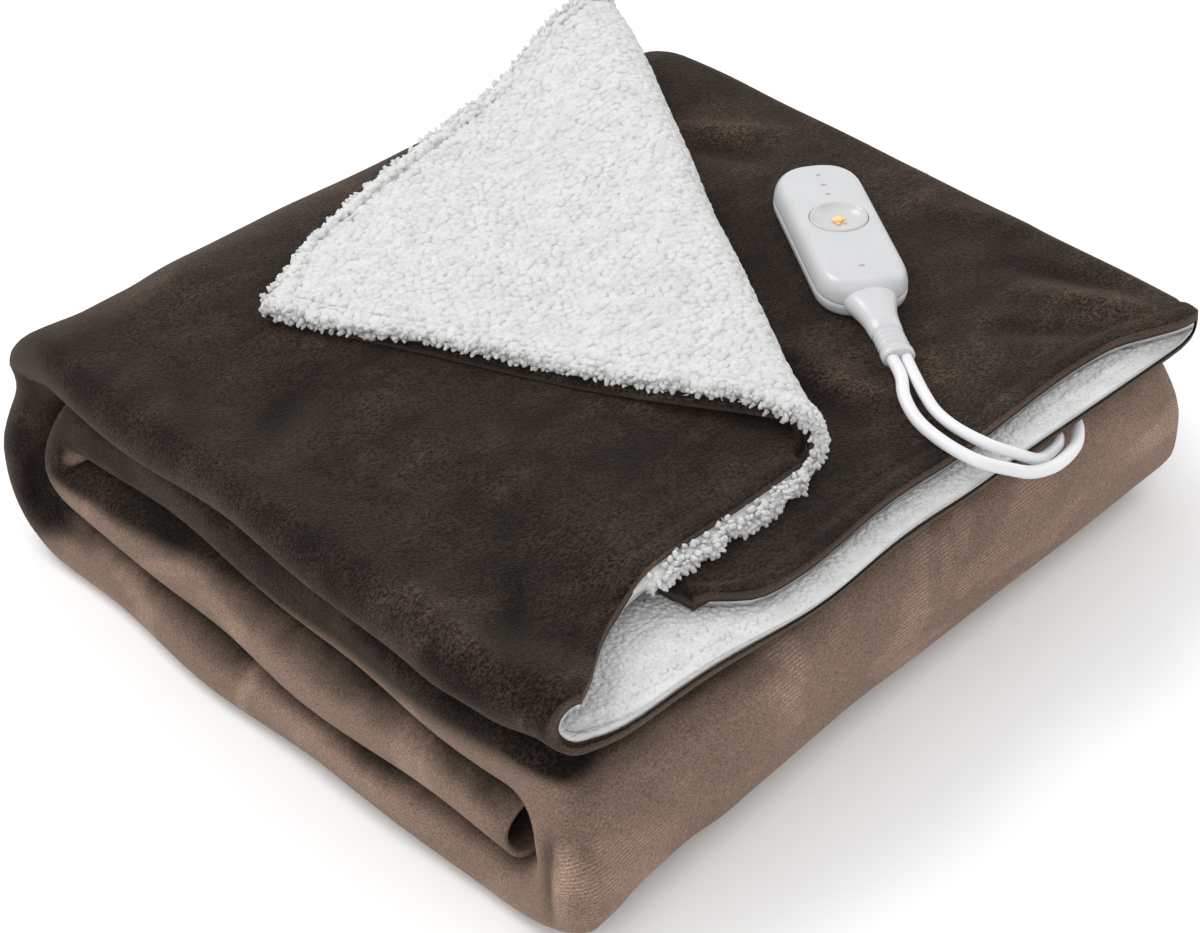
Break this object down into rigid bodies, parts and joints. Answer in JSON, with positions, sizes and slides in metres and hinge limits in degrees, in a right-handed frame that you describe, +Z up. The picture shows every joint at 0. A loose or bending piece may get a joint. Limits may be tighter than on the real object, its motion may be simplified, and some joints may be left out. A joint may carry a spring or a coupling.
{
  "type": "folded electric heated blanket with hand control",
  "caption": "Plush and sherpa electric throw, folded and rolled into a flat stack with one corner turned back, its white hand control and cords on top.",
  "frame": {"origin": "middle of the folded blanket's footprint on the surface that it rests on", "axes": "+X across the stack towards its right ridge, +Y towards its back roll, +Z up"},
  "size_m": [0.5585, 0.4308, 0.1557],
  "materials": {
    "brown_plush": "short brushed plush pile with a velvet sheen",
    "white_sherpa": "curly sherpa fleece",
    "white_plastic": "smooth gloss moulding",
    "white_cord": "smooth flexible sheath",
    "amber_light": "translucent amber lens",
    "plated_metal": "bright nickel plate"
  },
  "bodies": {
    "root": {"plush_panel": "brown_plush", "sherpa_panel": "white_sherpa", "control_base": "white_plastic", "control_top": "white_plastic", "control_button": "white_plastic", "control_lens": "amber_light", "strain_relief": "white_plastic", "blanket_lead": "white_cord", "mains_lead": "white_cord", "mains_tail": "white_cord", "mains_coil": "white_cord", "coil_tie": "white_cord", "plug_body": "white_plastic", "plug_blade_1": "plated_metal", "plug_blade_2": "plated_metal"}
  },
  "joints": []
}
